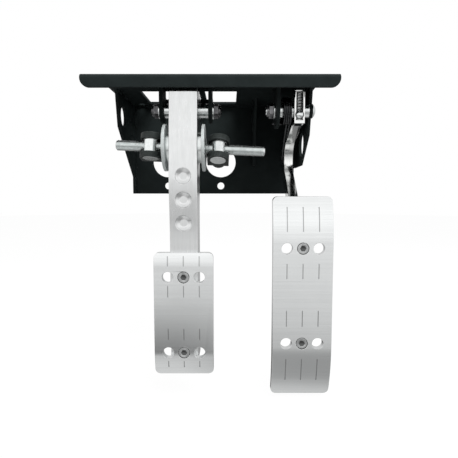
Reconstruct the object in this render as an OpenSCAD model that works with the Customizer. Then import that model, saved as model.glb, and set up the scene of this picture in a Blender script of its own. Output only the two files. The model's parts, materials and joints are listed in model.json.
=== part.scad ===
// Hanging pedal box: a folded steel bracket with a brake pedal on a balance bar and a throttle pedal.
// Millimetres. +Z is up, +X is the driver's right, +Y points at the bulkhead. The origin is the centre
// of the four mounting holes, on the top face of the top plate.

/* [Bracket] */
// Width of the top plate across its front wings
plate_w = 237; // [230:1:260]
// Depth of the bracket, front lip to bulkhead face
plate_d = 124; // [122:1:140]
// Thickness of the bracket's sheet steel
sheet_t = 3; // [2.5:0.1:3.5]
// Height of the folded front lip
lip_h = 12.6; // [10:0.2:16]
// Corner radius of the lip and of the plate's rear corners
lip_r = 8.5; // [4:0.5:10]
// Outer bend radius of the lip's fold
fold_r = 4; // [3.6:0.2:6]
// Width of each front wing, beyond the gussets
wing_w = 19.5; // [16:0.5:20]
// Depth of the front wings, from the front of the lip
wing_d = 34; // [26:1:36]
// Radius of the inside corner behind each wing
wing_r = 6; // [4:0.5:8]
// How far the plate stands out beyond the gussets, behind the wings
rim_w = 4.5; // [2:0.5:6]
// Height of the rear wall below the top face
wall_h = 108; // [106:1:130]
// Mounting holes, distance in from the gussets
mount_in = 11; // [9:0.5:13]
// Mounting holes, distance in from the lip and from the bulkhead face
mount_end = 11; // [10:0.5:14]
// Mounting hole diameter
mount_d = 8.5; // [6:0.5:10]

/* [Top window] */
// Distance from the left gusset to the window
window_in = 20.9; // [18:0.1:30]
// Depth of the window
window_d = 58; // [40:1:60]
// Distance from the window's rear edge to the bulkhead face
window_back = 12; // [8:1:20]
// Width of each web that crosses the window
web_w = 6.1; // [4:0.1:10]
// Distance from the brake plane to the middle of each web
web_off = 13.6; // [10:0.1:20]

/* [Gussets] */
// Left gusset's depth at the top, from the bulkhead face
left_reach = 78; // [70:1:90]
// Left gusset's depth at its waist
left_waist = 72; // [60:1:80]
// Height of the left waist below the top face
left_waist_z = 39; // [30:1:50]
// Left gusset's depth at its toe
left_toe = 9; // [6:1:20]
// Height of the left toe below the top face
left_toe_z = 88; // [80:1:100]
// Right gusset's depth at the top, from the bulkhead face
right_reach = 94; // [90:1:105]
// Right gusset's depth at its waist
right_waist = 83; // [76:1:90]
// Height of the right waist below the top face
right_waist_z = 49; // [46:1:56]
// Right gusset's depth at its toe
right_toe = 45; // [30:1:60]
// Height of the right gusset's bottom edge below the top face
right_toe_z = 77; // [72:1:90]
// Radius of the flare where a gusset's front edge meets the top plate
flare_r = 8; // [6:1:16]
// Diameter of the left lightening hole
left_hole_d = 21; // [12:1:24]
// Diameter of the right lightening hole
right_hole_d = 25; // [12:1:28]
// Diameter of the small harness holes
tie_hole_d = 6.5; // [4:0.5:8]
// Centre rib's place across the box
rib_x = 47; // [42:1:48]
// Centre rib's depth at the top, from the wall's front face
rib_reach = 39; // [30:1:50]
// Height of the centre rib's foot below the top face
rib_foot_z = 74; // [60:1:90]

/* [Master cylinders] */
// Distance between the two cylinder centres, and between the push rods
cylinder_dx = 64; // [64:0.5:70]
// Height of the cylinder centres below the top face
cylinder_z = 70; // [64:1:74]
// Cylinder body hole diameter
cylinder_d = 36; // [30:1:38]
// Flange bolt spacing
flange_dz = 57.15; // [54:0.05:60]
// Flange bolt hole diameter
flange_d = 8.4; // [6:0.2:9]

/* [Pivots] */
// Brake plane, across the box
brake_x = -25; // [-30:0.5:-20]
// Distance from the right gusset to the middle of the throttle arm
throttle_in = 11.5; // [10.5:0.5:14]
// Distance from the front of the lip to the pivot axis
pivot_in = 34; // [33:0.5:36]
// Pivot axis height below the top face
pivot_drop = 27; // [26:0.5:30]
// Stud and bolt diameter
stud_d = 8; // [6:1:8]
// Outside diameter of the steel sleeves on the stud and bolt
sleeve_d = 11; // [10:0.5:12]
// Outside diameter of the bushes in the arms
bush_d = 14; // [13:0.5:15]
// Locking nut width across flats
nut_af = 13; // [10:0.5:14]
// Locking nut height
nut_h = 6.5; // [6:0.1:9]
// Washer thickness
washer_t = 1.6; // [1:0.1:2]
// Washer diameter
washer_d = 16; // [14:0.5:18]
// Distance between the two brake tabs
ear_gap = 44; // [42:1:50]
// Thickness of the tabs
ear_t = 3.5; // [3:0.1:5]
// Half-width of the brake tabs
ear_r = 12; // [11:0.5:14]
// Half-width of the throttle tab
throttle_ear_r = 17; // [16:0.5:18]
// Height of the strap between the brake tabs
strap_h = 7; // [5:0.5:8]
// Top of the strap below the top face
strap_drop = 11.4; // [10:0.2:13]

/* [Brake pedal] */
// Width of the brake arm
arm_w = 26; // [22:0.2:28]
// Depth of the upper arm, front to back
arm_depth = 46; // [40:0.5:46]
// Distance from the pivot to the arm's back at the stop
arm_back = 17; // [16:0.5:19]
// Top of the arm above the pivot
arm_top = 16; // [15:0.5:18]
// Height of the arm's bend below the top face
arm_bend_z = 95; // [92:1:105]
// Front of the lower arm, from the pivot
arm_front = 35; // [34:0.5:42]
// How far the arm's front bows out at the bend
arm_bow = 4; // [0:0.5:6]
// Depth of the lower arm
shank_depth = 26.5; // [22:0.5:30]
// Bottom of the arm below the top face
arm_bottom = 267; // [255:1:272]
// Diameter of the three blind dimples
dimple_d = 14.6; // [10:0.2:16]
// Depth of a dimple
dimple_h = 3.2; // [1:0.1:5]
// Distance between dimples
dimple_pitch = 21.6; // [18:0.1:24]

/* [Balance bar] */
// Balance tube, distance in front of the pivot
tube_fwd = 19; // [18:0.5:20]
// Balance tube, height below the top face
tube_drop = 65.2; // [64:0.2:68]
// Balance tube outside diameter
tube_d = 28.5; // [26:0.5:29]
// Balance tube bore
tube_bore = 22; // [20:0.5:23]
// Balance tube length
tube_l = 33.4; // [32:0.2:36]
// Disc diameter
disc_d = 44; // [36:1:46]
// Disc thickness
disc_t = 2.8; // [2:0.1:3]
// Bearing ball diameter
ball_d = 18; // [16:0.5:19]
// Balance bar diameter
bar_d = 10; // [8:0.5:10]
// Balance bar, length to the left of the brake plane
bar_left = 65; // [56:1:70]
// Balance bar, length to the right of the brake plane
bar_right = 76; // [60:1:78]
// Tilt of the bar in its bearing, right end down, degrees
bar_tilt = 2.4; // [0:0.2:3]
// Trunnion barrel diameter
barrel_d = 15; // [14:0.5:16]
// Distance across the flats of a trunnion
barrel_flat = 11.5; // [11:0.5:13]
// Clevis width
clevis_w = 20.6; // [19:0.1:20.8]
// Gap between the clevis prongs
clevis_gap = 12.5; // [11.5:0.1:14]
// Thickness of a clevis prong
prong_t = 5.5; // [4:0.1:7]
// Clevis length behind the bar
clevis_l = 25; // [23:0.5:30]
// Push-rod thread diameter
rod_d = 8; // [6:1:8]
// Droop of the left clevis, degrees
droop_left = 9; // [0:1:24]
// Droop of the right clevis, degrees
droop_right = 21; // [0:1:24]

/* [Pads] */
// Width of both pads
pad_w = 55; // [50:0.5:60]
// Thickness of both pads
pad_t = 7; // [6:0.5:9]
// Corner radius of both pads
pad_r = 5; // [3:0.5:8]
// Distance between the three columns of holes and grooves
column_dx = 14.6; // [13:0.1:16]
// Screw hole diameter
pad_hole_d = 6.4; // [6.2:0.1:7]
// Diameter of the plain holes in the side columns
grip_hole_d = 10.4; // [8:0.2:11]
// Counterbore diameter
sink_d = 11; // [10.6:0.1:12]
// Counterbore depth
sink_h = 4.4; // [4.2:0.1:5]
// Pad screw diameter
screw_d = 6; // [5:0.5:6]
// Width of the engraved grooves
groove_w = 0.9; // [0.5:0.1:1.5]
// Depth of the engraved grooves
groove_h = 0.8; // [0.3:0.1:1]
// Brake pad top below the top face
brake_pad_top = 162.5; // [158:0.5:166]
// Brake pad height
brake_pad_h = 116; // [110:0.5:120]
// Brake pad, upper hole row below the pad's top
brake_row = 23; // [20:0.2:26]
// Brake pad, distance between the hole rows
brake_row_dz = 71.4; // [66:0.2:74]
// Brake pad, flat stretch starts below the pad's top
brake_flat = 16; // [12:1:18]
// Brake pad, length of the flat stretch
brake_flat_h = 76; // [70:1:80]
// Throttle pad top below the top face
throttle_pad_top = 111; // [108:1:114]
// Throttle pad height
throttle_pad_h = 189; // [178:1:196]
// Throttle pad, upper hole row below the pad's top
throttle_row = 47.4; // [45:0.2:52]
// Throttle pad, distance between the hole rows
throttle_row_dz = 88.6; // [84:0.2:92]
// Throttle pad, flat stretch starts below the pad's top
throttle_flat = 42; // [36:1:44]
// Throttle pad, length of the flat stretch
throttle_flat_h = 98; // [94:1:102]
// Radius of the brake pad's rolled ends
brake_roll_r = 78; // [70:1:110]
// Radius of the throttle pad's rolled ends
throttle_roll_r = 120; // [90:1:160]

/* [Throttle pedal] */
// Thickness of the throttle arm
lever_t = 10; // [9.6:0.1:11]
// Radius of the throttle arm round its pivot
hub_r = 13; // [12:0.5:14]
// Top of the throttle arm above the pivot
head_top = 19; // [17:0.5:20]
// Front of the throttle arm's head, ahead of the pivot
head_fwd = 15; // [14.6:0.2:17]
// Middle of the throttle arm's bend, behind the pivot
knee_back = 32; // [28:0.5:36]
// Middle of the throttle arm's bend, below the pivot
knee_drop = 44; // [36:0.5:46]
// Radius of the bend, at the middle of the arm
knee_r = 29; // [24:0.5:30]
// Width of the throttle arm round its bend
lever_w = 16; // [14:0.5:18]
// Radius of the throttle arm's foot
foot_r = 7; // [6:0.5:8]
// Front of the throttle arm's foot, ahead of the pivot
foot_fwd = 37.5; // [34:0.5:40]
// Foot's length beyond the two screw rows
foot_over = 9; // [7:0.5:12]
// Width of the cable slot in the head
slot_w = 6.6; // [6.4:0.1:7]
// Depth of the cable slot
slot_d = 6.8; // [6.6:0.1:7]
// Length of the cable slot
slot_l = 25.5; // [24:0.5:27]
// Cable nipple diameter
nipple_d = 8; // [6:0.2:8.4]

/* [Springs] */
// Return spring wire diameter
wire_d = 2.2; // [1.8:0.1:2.4]
// Return spring coil diameter at the middle of the wire
coil_d = 24.8; // [23:0.2:26]
// Return spring turns
coil_turns = 4; // [3:1:4]
// Where the return spring hooks round the bend, degrees above level
hook_angle = 0; // [-10:5:20]
// Cable spring wire diameter
cable_wire_d = 0.9; // [0.7:0.1:1]
// Cable spring turns
cable_turns = 6; // [4:1:7]

/* [Clearances] */
// Radial clearance of parts that turn on each other
run_gap = 0.04; // [0.02:0.01:0.08]
// Radial clearance of parts that stay put
fit_gap = 0.02; // [0.01:0.01:0.05]
// Gap between bodies that move past each other
side_gap = 0.3; // [0.2:0.1:0.4]
// Radial clearance of bolts in their holes
bolt_gap = 0.15; // [0.1:0.05:0.3]

/* [Hidden] */
$fn = 64;
eps = 0.01;
black = "#23282a";
alloy = "#d8dbd9";
brushed = "#c6cac9";
zinc = "#b9bfbd";
phosphate = "#2c3231";
bronze = "#8d7a4f";
dark_steel = "#5b6062";

front_y = -plate_d / 2;
back_y = plate_d / 2;
wall_y = back_y - sheet_t;
gusset_x = plate_w / 2 - wing_w - sheet_t;
rim_x = gusset_x + sheet_t + rim_w;
mount_x = gusset_x - mount_in;
mount_y = plate_d / 2 - mount_end;
window_x = brake_x + gusset_x - window_in;
// Holes in the gussets, each as depth from the bulkhead face and height below the top face
left_hole = [57, 26];
tie_holes = [[30, 27], [22, 43]];
right_hole = [50, 55];
lug_r = 7;
// Half the height of the lug's root, which runs back from the pivot into the gusset
lug_root = 6.2;
// Foot of the wall's right end: a small hole and a notch, as places in from the gusset and up from the bottom
foot_hole = [6, 16, 4];
notch = [11, 6, 5];
// Centre rib's bend, as shares of its depth and height, and its foot's share of the depth
rib_bend = [0.41, 0.54];
rib_foot = 0.2;
pivot_y = front_y + pivot_in;
pivot_z = -pivot_drop;
ear_x = ear_gap / 2;
spring_room = 13.5;
throttle_x = gusset_x - throttle_in;
throttle_ear_x = throttle_x - lever_t / 2 - spring_room;
strap_y = pivot_y + arm_back + side_gap;
strap_z = -strap_drop - strap_h;
stud_out = 1;
nut_hex = 0.68;
nut_collar = 0.9;
nut_bore = stud_d + 2 * fit_gap;
bolt_bore = stud_d + 2 * bolt_gap;
bush_bore = sleeve_d + 2 * run_gap;
bush_seat = bush_d + 2 * fit_gap;

tube_y = pivot_y - tube_fwd;
tube_z = -tube_drop;
disc_bore = tube_bore - 2;
race_l = 10;
ball_l = 13;
rod_half = cylinder_dx / 2;
bar_bore = bar_d + 2 * run_gap;
barrel_l = clevis_gap + 2 * prong_t;

arm_face_y = pivot_y - arm_front;
arm_break = 2;
nose = [3, 1.5, 4];
tube_wall = 4;
bow_l = 58;
bow_steps = 6;
dimple_wall = 1.2;
dimple_taper = 7;
dimple_up = 2.4;
bar_chamfer = 1.2;
pin_d = 2.5;
pin_in = 9;
neck_w = 4;
bridge_t = 2.5;
brake_front_y = arm_face_y - pad_t;
foot_y = pivot_y - foot_fwd;
throttle_front_y = foot_y - pad_t;
throttle_row_z = -throttle_pad_top - throttle_row;
brake_row_z = -brake_pad_top - brake_row;
screw_l = 16;
pad_reach = 40;
screw_head_d = 10;
screw_head_h = 4;
hex_d = 5.8;
hex_h = 2.2;
// Engraved grooves, each from and to, measured up from a row of holes
brake_grooves_upper = [[19.7, 10.4], [-7.8, -18.5]];
brake_grooves_lower = [[23, 12.4], [-8.2, -14.4]];
throttle_grooves_upper = [[37.7, 15.4], [-14, -28]];
throttle_grooves_lower = [[31, 16], [-15, -37]];

knee = [pivot_y + knee_back, pivot_z - knee_drop];
hub = [pivot_y, pivot_z];
foot_top = [foot_y + foot_r, throttle_row_z + foot_over - foot_r];
foot_end = [foot_y + foot_r, throttle_row_z - throttle_row_dz - foot_over + foot_r];
bend_start = knee + knee_r * toward(tangent_angle(hub, -1));
bend_end = knee + knee_r * toward(tangent_angle(foot_top, 1));
head_r = 4;
chin_h = 8;
slot_top = pivot_z + head_top - head_r;
nipple_y = pivot_y - head_fwd + nipple_d / 2 - 2;
nipple_z = slot_top - slot_l + nipple_d / 2 + side_gap;
cable_spring_r = (slot_w - 0.5 - cable_wire_d) / 2;
leg_x = throttle_x - lever_t / 2 - wire_d / 2 - side_gap;
tail_l = 3;
coil_pitch = (leg_x - throttle_ear_x - wire_d - 1) / coil_turns;

// An outline in Y and Z, pushed out along X
module along_x(x, w) {
    translate([x, 0, 0]) rotate([90, 0, 90]) linear_extrude(w) children();
}

// An outline in X and Z, pushed out along Y
module along_y(y, d) {
    translate([0, y + d, 0]) rotate([90, 0, 0]) linear_extrude(d) children();
}

// A round bar along X
module rod_x(x, w, d, y, z) {
    translate([x, y, z]) rotate([0, 90, 0]) cylinder(d = d, h = w);
}

// A round bar along Y
module rod_y(y, l, d, x, z) {
    translate([x, y, z]) rotate([-90, 0, 0]) cylinder(d = d, h = l);
}

// A tapered link between two round ends, by its outer tangents
module link(a, ra, b, rb) {
    run = norm(b - a);
    heading = atan2(b[1] - a[1], b[0] - a[0]);
    lean = acos((ra - rb) / run);
    translate(a) circle(ra);
    translate(b) circle(rb);
    polygon([
        a + ra * [cos(heading + lean), sin(heading + lean)],
        a + ra * [cos(heading - lean), sin(heading - lean)],
        b + rb * [cos(heading - lean), sin(heading - lean)],
        b + rb * [cos(heading + lean), sin(heading + lean)]
    ]);
}

// What a round corner takes off a square one; the corner is at the origin, the plate towards +X and +Y
module corner_waste(r) {
    difference() {
        translate([-1, -1]) square(r + 1);
        translate([r, r]) circle(r);
    }
}

function toward(angle) = [cos(angle), sin(angle)];
// Angle, seen from the middle of the throttle arm's bend, where a straight from a point meets the bend
function tangent_angle(p, side) =
    atan2(p[1] - knee[1], p[0] - knee[0]) + side * acos(knee_r / norm(p - knee));
// Front of the brake arm at a height, from the tube down to the pad
function arm_front_y(z) =
    z > -arm_bend_z
    ? arm_face_y - arm_bow + (tube_y - tube_d / 2 - tube_wall - arm_face_y + arm_bow) * (z + arm_bend_z)
        / (tube_z + arm_bend_z)
    : arm_face_y - arm_bow * (1 + cos(180 * min(1, (-arm_bend_z - z) / bow_l))) / 2;
function unit(v) = v / norm(v);
function tangents(p) = [for (i = [0:len(p) - 1]) unit(p[min(i + 1, len(p) - 1)] - p[max(i - 1, 0)])];
function carried(ts, n, i = 0) =
    i == len(ts) ? [] :
    let (m = unit(n - (n * ts[i]) * ts[i])) concat([m], carried(ts, m, i + 1));

// Round wire swept along a path
module wire(path, r, sides) {
    ts = tangents(path);
    ns = carried(ts, unit(cross(ts[0], [0.3, 0.5, 0.8])));
    last = len(path) - 1;
    points = [for (i = [0:last]) for (k = [0:sides - 1])
        path[i] + r * (cos(360 * k / sides) * ns[i] + sin(360 * k / sides) * cross(ts[i], ns[i]))];
    skin = [for (i = [0:last - 1]) for (k = [0:sides - 1])
        [i * sides + k, (i + 1) * sides + k, (i + 1) * sides + (k + 1) % sides, i * sides + (k + 1) % sides]];
    caps = [[for (k = [0:sides - 1]) k], [for (k = [sides - 1:-1:0]) last * sides + k]];
    polyhedron(points = points, faces = concat(skin, caps));
}

module lip_section() {
    translate([front_y + fold_r, -sheet_t]) square([plate_d - fold_r, sheet_t]);
    translate([front_y, -lip_h]) square([sheet_t, lip_h - fold_r]);
    intersection() {
        translate([front_y, -fold_r]) square(fold_r);
        difference() {
            translate([front_y + fold_r, -fold_r]) circle(fold_r);
            translate([front_y + fold_r, -fold_r]) circle(fold_r - sheet_t);
        }
    }
}

// What is cut from the plate's left side behind the wing
module wing_waste() {
    wing_y = front_y + wing_d;
    translate([-plate_w / 2 - 1, wing_y + wing_r]) square([plate_w / 2 + 1 - rim_x, plate_d]);
    translate([-plate_w / 2 - 1, wing_y]) square([plate_w / 2 + 1 - rim_x - wing_r, plate_d]);
    translate([-rim_x - wing_r, wing_y + wing_r]) circle(wing_r);
    translate([-rim_x, back_y]) mirror([0, 1]) corner_waste(rim_w);
}

module window_pane(x0, x1) {
    translate([x0, back_y - window_back - window_d, -sheet_t - 1]) cube([x1 - x0, window_d, sheet_t + 2]);
}

module top_plate() color(black) difference() {
    along_x(-plate_w / 2, plate_w) lip_section();
    for (side = [0, 1]) mirror([side, 0, 0]) {
        translate([-plate_w / 2, 0, -lip_h]) along_y(front_y - 1, sheet_t + 2) corner_waste(lip_r);
        translate([0, 0, -sheet_t - 1]) linear_extrude(sheet_t + 2) wing_waste();
    }
    window_pane(brake_x - window_x, brake_x - web_off - web_w / 2);
    window_pane(brake_x - web_off + web_w / 2, brake_x + web_off - web_w / 2);
    window_pane(brake_x + web_off + web_w / 2, brake_x + window_x);
    for (x = [-1, 1]) for (y = [-1, 1])
        translate([x * mount_x, y * mount_y, -sheet_t - 1]) cylinder(d = mount_d, h = sheet_t + 2);
}

module rear_wall() color(black) difference() {
    translate([-gusset_x, wall_y, -wall_h]) cube([2 * gusset_x, sheet_t, wall_h - sheet_t]);
    for (side = [-1, 1]) {
        rod_y(wall_y - 1, sheet_t + 2, cylinder_d, brake_x + side * rod_half, -cylinder_z);
        for (up = [-1, 1])
            rod_y(wall_y - 1, sheet_t + 2, flange_d, brake_x + side * rod_half, -cylinder_z + up * flange_dz / 2);
    }
    rod_y(wall_y - 1, sheet_t + 2, foot_hole[2], gusset_x - foot_hole[0], foot_hole[1] - wall_h);
    along_y(wall_y - 1, sheet_t + 2) polygon([[gusset_x - notch[0], -wall_h - 1],
        [gusset_x - notch[1], notch[2] - wall_h], [gusset_x - notch[2], -wall_h - 1]]);
}

module gusset_outline(reach, waist, waist_z, toe, toe_z, foot_z) {
    flare_z = -sheet_t - flare_r;
    foot = foot_z > toe_z ? [[back_y - toe, -foot_z]] : [];
    polygon(concat(
        [[back_y, -sheet_t], [back_y - reach, -sheet_t], [back_y - reach, flare_z],
         [back_y - waist, -waist_z], [back_y - toe, -toe_z]],
        foot, [[back_y, -foot_z]]));
    difference() {
        translate([back_y - reach - flare_r, flare_z]) square([flare_r + 1, flare_r]);
        translate([back_y - reach - flare_r, flare_z]) circle(flare_r);
    }
}

module left_gusset() color(black) difference() {
    along_x(-gusset_x - sheet_t, sheet_t)
        gusset_outline(left_reach, left_waist, left_waist_z, left_toe, left_toe_z, wall_h);
    rod_x(-gusset_x - sheet_t - 1, sheet_t + 2, left_hole_d, back_y - left_hole[0], -left_hole[1]);
    for (hole = tie_holes)
        rod_x(-gusset_x - sheet_t - 1, sheet_t + 2, tie_hole_d, back_y - hole[0], -hole[1]);
}

module right_gusset() color(black) difference() {
    along_x(gusset_x, sheet_t) union() {
        gusset_outline(right_reach, right_waist, right_waist_z, right_toe, right_toe_z, right_toe_z);
        translate(hub) circle(lug_r);
        translate(hub - [0, lug_root]) square([back_y - right_toe - pivot_y, 2 * lug_root]);
    }
    rod_x(gusset_x - 1, sheet_t + 2, right_hole_d, back_y - right_hole[0], -right_hole[1]);
    rod_x(gusset_x - 1, sheet_t + 2, bolt_bore, pivot_y, pivot_z);
}

module centre_rib() color(black) along_x(rib_x - sheet_t / 2, sheet_t) polygon([
    [wall_y, -sheet_t], [wall_y - rib_reach, -sheet_t],
    [wall_y - rib_bend[0] * rib_reach, -rib_bend[1] * rib_foot_z],
    [wall_y - rib_foot * rib_reach, -rib_foot_z], [wall_y, -rib_foot_z]]);

module ear_outline(r) {
    translate([pivot_y - r, pivot_z]) square([2 * r, pivot_drop - sheet_t]);
    translate(hub) circle(r);
}

module brake_ear(x) color(black) difference() {
    along_x(x, ear_t) union() {
        ear_outline(ear_r);
        translate([pivot_y, strap_z]) square([strap_y + sheet_t - pivot_y, strap_h]);
    }
    rod_x(x - 1, ear_t + 2, bolt_bore, pivot_y, pivot_z);
}

module brake_ear_left() brake_ear(brake_x - ear_x - ear_t);

module brake_ear_right() brake_ear(brake_x + ear_x);

module ear_strap() color(black)
    translate([brake_x - ear_x, strap_y, strap_z]) cube([ear_gap, sheet_t, strap_h]);

module throttle_ear() color(black) difference() {
    along_x(throttle_ear_x - ear_t, ear_t) ear_outline(throttle_ear_r);
    rod_x(throttle_ear_x - ear_t - 1, ear_t + 2, bolt_bore, pivot_y, pivot_z);
    rod_x(throttle_ear_x - ear_t - 1, ear_t + 2, wire_d + 2 * side_gap, pivot_y, pivot_z - coil_d / 2);
}

// A locking nut that faces along X: side 1 has its collar towards +X
module lock_nut(x, side) translate([x, pivot_y, pivot_z]) rotate([0, side * 90, 0]) difference() {
    union() {
        cylinder(d = nut_af / cos(30), h = nut_hex * nut_h, $fn = 6);
        cylinder(d = nut_collar * nut_af, h = nut_h);
    }
    translate([0, 0, -1]) cylinder(d = nut_bore, h = nut_h + 2);
}

module tube_x(x, w, d, bore, y, z) difference() {
    rod_x(x, w, d, y, z);
    rod_x(x - 1, w + 2, bore, y, z);
}

module brake_stud() color(dark_steel) {
    half = ear_x + ear_t + washer_t + nut_h + stud_out;
    rod_x(brake_x - half, 2 * half, stud_d, pivot_y, pivot_z);
}

module brake_nuts() color(dark_steel) for (side = [-1, 1])
    lock_nut(brake_x + side * (ear_x + ear_t + washer_t), side);

module brake_washers() color(zinc) for (x = [-ear_x - ear_t - washer_t, ear_x + ear_t])
    tube_x(brake_x + x, washer_t, washer_d, bolt_bore, pivot_y, pivot_z);

module brake_sleeve() color(zinc)
    tube_x(brake_x - ear_x, ear_gap, sleeve_d, bolt_bore, pivot_y, pivot_z);

module brake_bush() color(zinc)
    tube_x(brake_x - ear_x + side_gap, ear_gap - 2 * side_gap, bush_d, bush_bore, pivot_y, pivot_z);

module brake_arm_outline() {
    top_z = pivot_z + arm_top;
    back_top = pivot_y + arm_back;
    front_top = back_top - arm_depth;
    shank_y = arm_face_y + shank_depth;
    polygon(concat(
        [[back_top - arm_break, top_z], [back_top, top_z - arm_break], [back_top, strap_z],
         [tube_y + tube_d / 2 + tube_wall, tube_z], [shank_y, -arm_bend_z - bow_l / 2],
         [shank_y, -arm_bottom], [arm_face_y, -arm_bottom]],
        [for (i = [bow_steps:-1:0]) let (z = -arm_bend_z - i * bow_l / bow_steps) [arm_front_y(z), z]],
        [[arm_front_y(tube_z), tube_z], [front_top - nose[1], top_z - nose[2]], [front_top + nose[0], top_z]]));
}

module brake_arm() color(alloy) difference() {
    along_x(brake_x - arm_w / 2, arm_w) brake_arm_outline();
    rod_x(brake_x - arm_w, 2 * arm_w, bush_seat, pivot_y, pivot_z);
    rod_x(brake_x - arm_w, 2 * arm_w, tube_d + 2 * fit_gap, tube_y, tube_z);
    for (i = [0:2]) let (z = -arm_bend_z + dimple_up - i * dimple_pitch)
        translate([brake_x, arm_front_y(z) + dimple_wall, z]) rotate([-90, 0, 0]) {
            translate([0, 0, -arm_w]) cylinder(d = dimple_d, h = arm_w);
            cylinder(d1 = dimple_d, d2 = dimple_d - dimple_taper, h = dimple_h - dimple_wall);
        }
    for (i = [0, 1])
        rod_y(arm_face_y - 1, screw_l - pad_t + sink_h + 1, screw_d + 2 * fit_gap, brake_x,
              brake_row_z - i * brake_row_dz);
}

module balance_tube() color(zinc) tube_x(brake_x - tube_l / 2, tube_l, tube_d, tube_bore, tube_y, tube_z);

module tube_discs() color(zinc) for (x = [-tube_l / 2 - disc_t, tube_l / 2])
    tube_x(brake_x + x, disc_t, disc_d, disc_bore, tube_y, tube_z);

module bearing_race() color(bronze) translate([brake_x, tube_y, tube_z]) rotate([0, 90, 0])
    rotate_extrude() difference() {
        translate([0, -race_l / 2]) square([tube_bore / 2 - fit_gap, race_l]);
        circle(d = ball_d + 2 * run_gap);
    }

// The balance bar's own frame: X along the bar, origin at the middle of the ball
module on_bar() translate([brake_x, tube_y, tube_z]) rotate([0, bar_tilt, 0]) children();

module bearing_ball() color(dark_steel) on_bar() rotate([0, 90, 0])
    rotate_extrude() intersection() {
        circle(d = ball_d);
        translate([bar_bore / 2, -ball_l / 2]) square([ball_d, ball_l]);
    }

module balance_bar() color(zinc) on_bar() difference() {
    union() {
        rod_x(-bar_left + bar_chamfer, bar_left + bar_right - 2 * bar_chamfer, bar_d, 0, 0);
        for (end = [[-bar_left, bar_d - 2 * bar_chamfer, bar_d],
                    [bar_right - bar_chamfer, bar_d, bar_d - 2 * bar_chamfer]])
            translate([end[0], 0, 0]) rotate([0, 90, 0]) cylinder(d1 = end[1], d2 = end[2], h = bar_chamfer);
    }
    translate([bar_right - pin_in, 0, -bar_d]) cylinder(d = pin_d, h = 2 * bar_d);
}

// A trunnion's own frame: X along the bar, Y towards the push rod, Z along the barrel
module on_trunnion(side, droop) on_bar() translate([side * rod_half, 0, 0]) rotate([-droop, 0, 0]) children();

module trunnion(side, droop) color(zinc) on_trunnion(side, droop) difference() {
    translate([0, 0, -barrel_l / 2]) cylinder(d = barrel_d, h = barrel_l);
    rod_x(-barrel_d, 2 * barrel_d, bar_bore, 0, 0);
    for (face = [-1, 1])
        translate([face * (barrel_flat + barrel_d) / 2, 0, 0])
            cube([barrel_d, barrel_d + 1, clevis_gap - 0.6], center = true);
}

module trunnion_left() trunnion(-1, droop_left);

module trunnion_right() trunnion(1, droop_right);

module prong_outline() {
    circle(d = clevis_w);
    translate([-clevis_w / 2, 0]) square([clevis_w, barrel_d / 2 + neck_w]);
}

module clevis(side, droop) color(phosphate) on_trunnion(side, droop) {
    neck_y = barrel_d / 2 + neck_w;
    difference() {
        union() {
            for (z = [-barrel_l / 2, clevis_gap / 2])
                translate([0, 0, z]) linear_extrude(prong_t) prong_outline();
            translate([-clevis_w / 2, neck_y - bridge_t, -barrel_l / 2]) cube([clevis_w, bridge_t, barrel_l]);
            translate([0, neck_y - eps, 0]) rotate([-90, 0, 0])
                cylinder(d1 = clevis_w - 1, d2 = clevis_w - 5, h = clevis_l - neck_y + eps);
        }
        translate([0, 0, -barrel_l]) cylinder(d = barrel_d + 2 * run_gap, h = 2 * barrel_l);
        rod_y(0, clevis_l + 1, rod_d, 0, 0);
    }
}

module clevis_left() clevis(-1, droop_left);

module clevis_right() clevis(1, droop_right);

// Everything behind a pad's face, in Y and Z: a flat stretch with both ends rolled back
module behind_face(front, size, depth) {
    flat_top = size[0] - size[2];
    flat_end = flat_top - size[3];
    bottom = size[0] - size[1];
    translate([front, flat_end]) square([depth, size[3]]);
    for (roll = [[flat_top, flat_top, size[2]], [flat_end, bottom, flat_end - bottom]])
        intersection() {
            translate([front, roll[1]]) square([depth, roll[2]]);
            translate([front + size[4], roll[0]]) circle(size[4], $fn = 180);
        }
}

// A pad's section: flat at the back, or bent from plate of one thickness
module pad_section(front, size, bent) {
    if (bent) difference() {
        behind_face(front, size, pad_reach);
        translate([pad_t, 0]) behind_face(front, size, pad_reach);
    }
    else behind_face(front, size, pad_t);
}

// A pad seen from the front: a rectangle with rounded corners, in short straight steps
module pad_outline(x, top, height) {
    steps = 6;
    polygon([for (c = [[1, 1, 0], [-1, 1, 90], [-1, -1, 180], [1, -1, 270]]) for (k = [0:steps])
        [x + c[0] * (pad_w / 2 - pad_r) + pad_r * cos(c[2] + 90 * k / steps),
         top - height / 2 + c[1] * (height / 2 - pad_r) + pad_r * sin(c[2] + 90 * k / steps)]]);
}

module column_grooves(x, row_z, grooves) for (i = [-1:1]) for (g = grooves)
    translate([x + i * column_dx - groove_w / 2, row_z + g[1]]) square([groove_w, g[0] - g[1]]);

// A pedal pad: size is [top, height, flat start, flat length, roll radius], rows is [upper row, spacing]
module pad(x, front, size, rows, upper, lower, bent) color(brushed) difference() {
    lower_z = rows[0] - rows[1];
    intersection() {
        along_x(x - pad_w / 2, pad_w) pad_section(front, size, bent);
        along_y(front - 1, pad_reach) pad_outline(x, size[0], size[1]);
    }
    intersection() {
        along_x(x - pad_w / 2, pad_w) difference() {
            translate([front - 1, size[0] - size[1]]) square([pad_reach, size[1]]);
            translate([groove_h, 0]) behind_face(front, size, pad_reach);
        }
        along_y(front - 1, pad_reach - 1) {
            column_grooves(x, rows[0], upper);
            column_grooves(x, lower_z, lower);
        }
    }
    for (z = [rows[0], lower_z]) {
        rod_y(front - 1, pad_t + 2, pad_hole_d, x, z);
        rod_y(front - 1, sink_h + 1, sink_d, x, z);
        for (i = [-1, 1]) rod_y(front - 1, pad_t + 2, grip_hole_d, x + i * column_dx, z);
    }
}

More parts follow.
